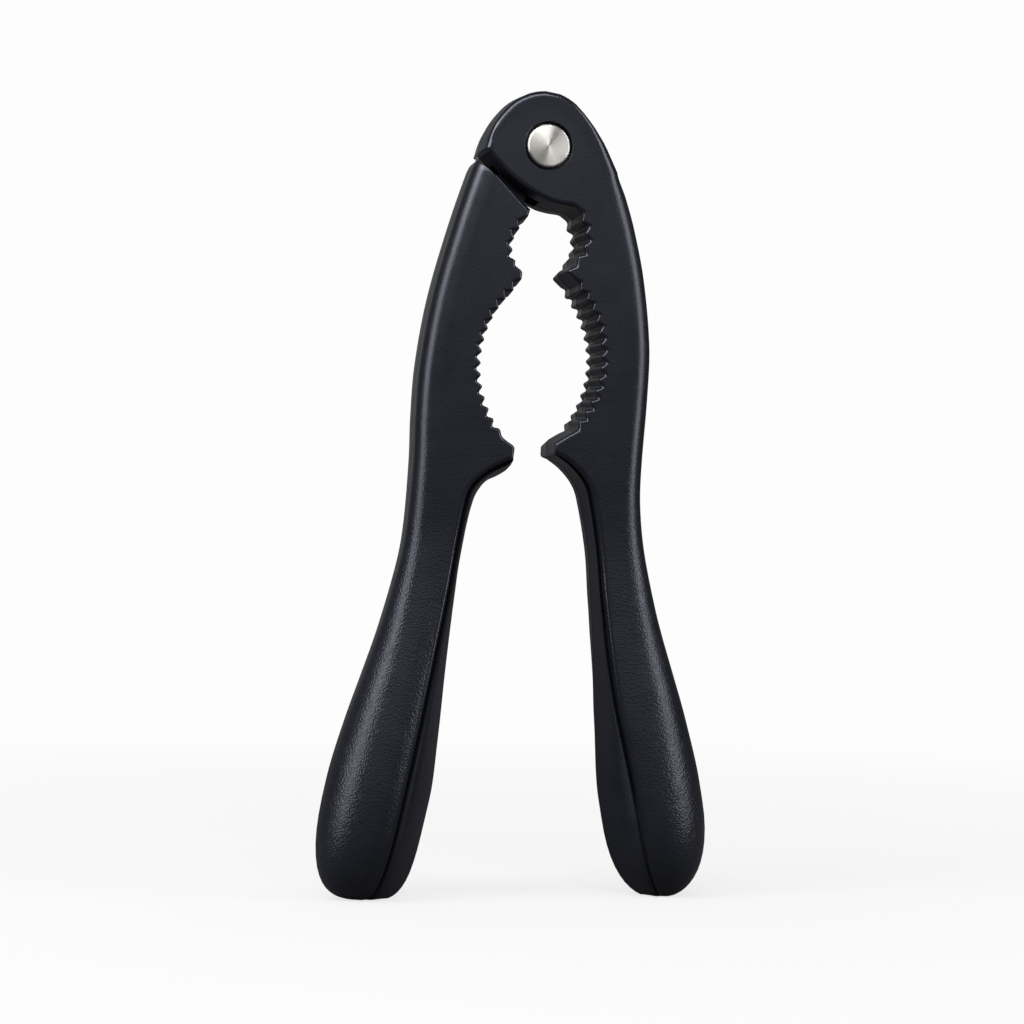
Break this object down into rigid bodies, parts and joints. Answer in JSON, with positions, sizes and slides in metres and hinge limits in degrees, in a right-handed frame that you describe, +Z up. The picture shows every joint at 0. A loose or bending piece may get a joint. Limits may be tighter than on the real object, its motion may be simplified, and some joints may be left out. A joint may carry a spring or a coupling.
{
  "type": "plier nutcracker",
  "caption": "Hinged nutcracker with two swelling cast handles, a fork-and-tongue pivot with a bright disc, and toothed hollows for a hazelnut and a walnut",
  "frame": {"origin": "on the floor, below the middle of the part's box", "axes": "Z up along the closed tool's length, X to the right across the two levers, Y from the front with the bright disc to the back"},
  "size_m": [0.0945, 0.024, 0.1909],
  "materials": {
    "lever_coat": "satin blue-black coating over a fine cast grain",
    "pivot_steel": "turned bright steel",
    "washer_steel": "plain dull steel"
  },
  "bodies": {
    "fork_side": {"right_lever": "lever_coat", "pivot_barrel": "pivot_steel", "pivot_screw": "pivot_steel", "front_washer": "washer_steel", "rear_washer": "washer_steel"},
    "tongue_side": {"left_lever": "lever_coat"}
  },
  "joints": [
    {"name": "lever_pivot", "type": "hinge", "parent": "fork_side", "child": "tongue_side", "pos_m": [0.0043, 0, 0.17722], "axis": [0, -1, 0], "range_deg": [-8.4, 6.1]}
  ]
}
